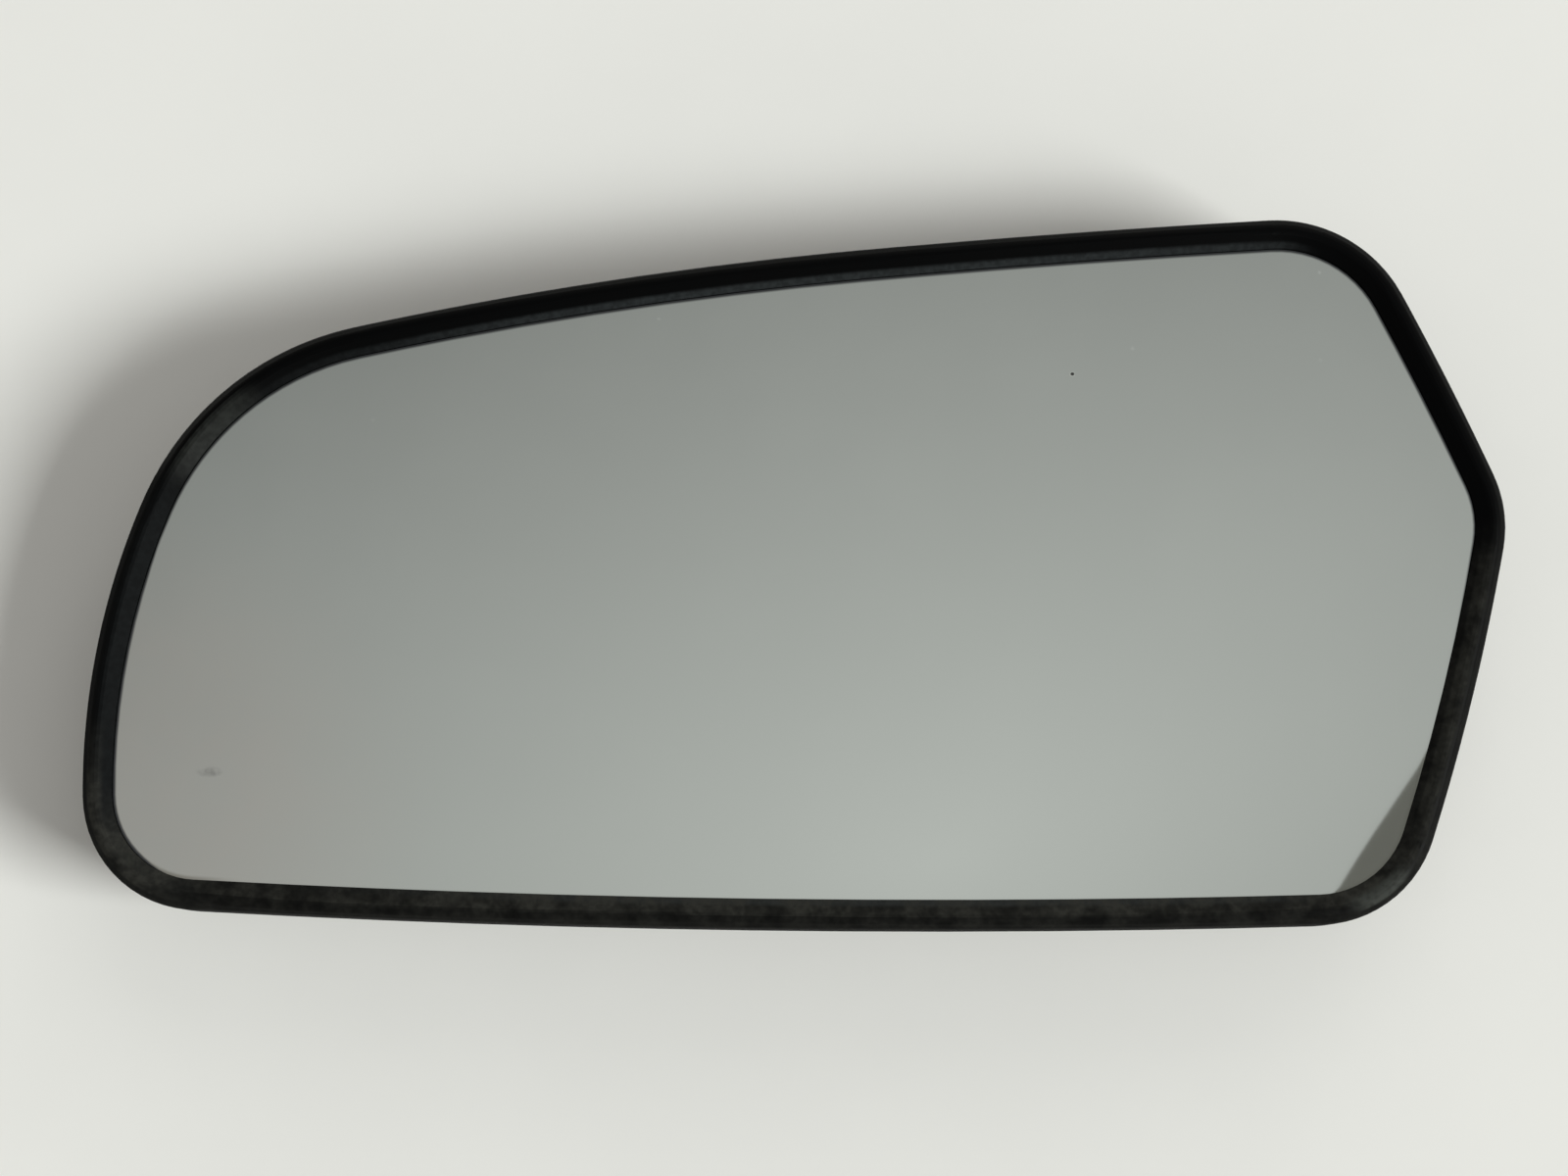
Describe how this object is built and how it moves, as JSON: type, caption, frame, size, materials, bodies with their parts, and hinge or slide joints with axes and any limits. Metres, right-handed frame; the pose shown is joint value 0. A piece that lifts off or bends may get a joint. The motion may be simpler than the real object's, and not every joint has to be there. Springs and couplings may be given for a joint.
{
  "type": "car door mirror glass",
  "caption": "Convex door mirror glass with one blunt pointed end, bonded into a black moulded plate with a raised rim round the glass and a slotted snap ring behind for the adjuster.",
  "frame": {"origin": "on the axis of the snap ring, in the middle of the lands of its hooks", "axes": "+X to the pointed end across the face, +Y up the face, +Z out of the glass along the ring's axis"},
  "size_m": [0.1722, 0.0868, 0.0213],
  "materials": {
    "silvered_glass": "polished convex mirror with a faint green cast and a light film of dust",
    "foam_tape": "closed-cell foam sheet, sticky on both sides",
    "black_plastic": "satin moulded plastic, dusty and scuffed along the rim"
  },
  "bodies": {
    "root": {"mirror_glass": "silvered_glass", "adhesive_pad": "foam_tape", "backing_plate": "black_plastic"}
  },
  "joints": []
}
